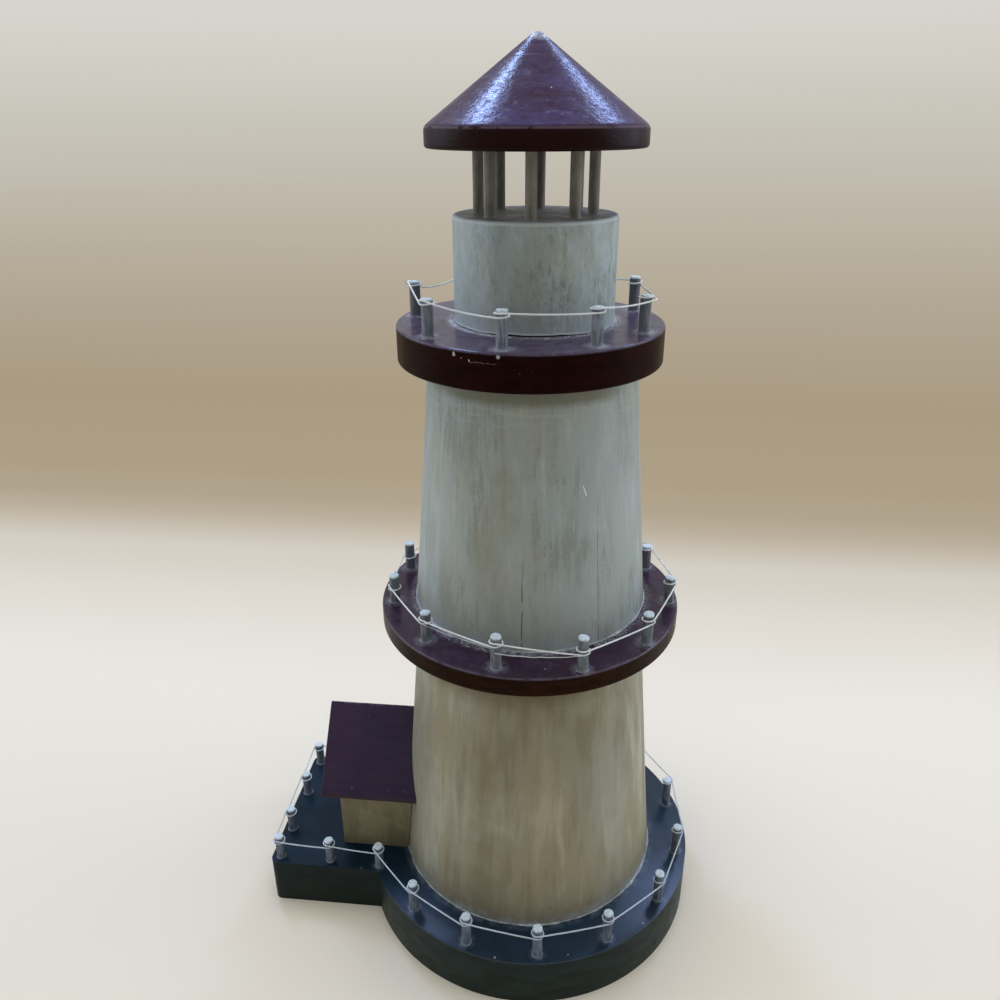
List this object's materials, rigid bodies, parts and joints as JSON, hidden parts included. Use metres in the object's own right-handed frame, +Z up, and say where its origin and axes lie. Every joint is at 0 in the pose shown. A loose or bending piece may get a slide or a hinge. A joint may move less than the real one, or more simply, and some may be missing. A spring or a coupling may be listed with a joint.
{
  "type": "lighthouse ornament",
  "caption": "Painted wooden lighthouse on a keyhole-shaped base, with galleries, string railings on dowel posts, a lantern under a cone roof and a small house.",
  "frame": {"origin": "on the tower's axis, at the underside of the base board", "axes": "+Z up along the tower; -X towards the end of the wing that carries the house; -Y to the front"},
  "size_m": [0.1579, 0.123, 0.2974],
  "materials": {
    "green_paint": "satin paint",
    "tower_wash": "matt brushed wash",
    "wine_paint": "gloss paint",
    "wall_wash": "matt brushed wash",
    "column_wash": "matt wash",
    "post_wash": "matt wash, pale tops",
    "bare_dowel": "bare",
    "string": "twisted cotton"
  },
  "bodies": {
    "root": {"base_board": "green_paint", "lower_tower": "tower_wash", "middle_gallery": "wine_paint", "upper_tower": "tower_wash", "upper_gallery": "wine_paint", "lantern_drum": "tower_wash", "roof": "wine_paint", "house_body": "wall_wash", "house_roof": "wine_paint", "base_dowel": "bare_dowel", "middle_dowel": "bare_dowel", "upper_dowel": "bare_dowel", "column_1": "column_wash", "column_2": "column_wash", "column_3": "column_wash", "column_4": "column_wash", "column_5": "column_wash", "column_6": "column_wash", "column_7": "column_wash", "column_8": "column_wash", "upper_post_1": "post_wash", "upper_post_2": "post_wash", "upper_post_3": "post_wash", "upper_post_4": "post_wash", "upper_post_5": "post_wash", "upper_post_6": "post_wash", "upper_post_7": "post_wash", "upper_post_8": "post_wash", "middle_post_1": "post_wash", "middle_post_2": "post_wash", "middle_post_3": "post_wash", "middle_post_4": "post_wash", "middle_post_5": "post_wash", "middle_post_6": "post_wash", "middle_post_7": "post_wash", "middle_post_8": "post_wash", "middle_post_9": "post_wash", "middle_post_10": "post_wash", "middle_post_11": "post_wash", "base_post_1": "post_wash", "base_post_2": "post_wash", "base_post_3": "post_wash", "base_post_4": "post_wash", "base_post_5": "post_wash", "base_post_6": "post_wash", "base_post_7": "post_wash", "base_post_8": "post_wash", "base_post_9": "post_wash", "base_post_10": "post_wash", "base_post_11": "post_wash", "base_post_12": "post_wash", "base_post_13": "post_wash", "base_post_14": "post_wash", "wing_posts": "post_wash", "upper_string": "string", "middle_string": "string", "base_string": "string"}
  },
  "joints": []
}
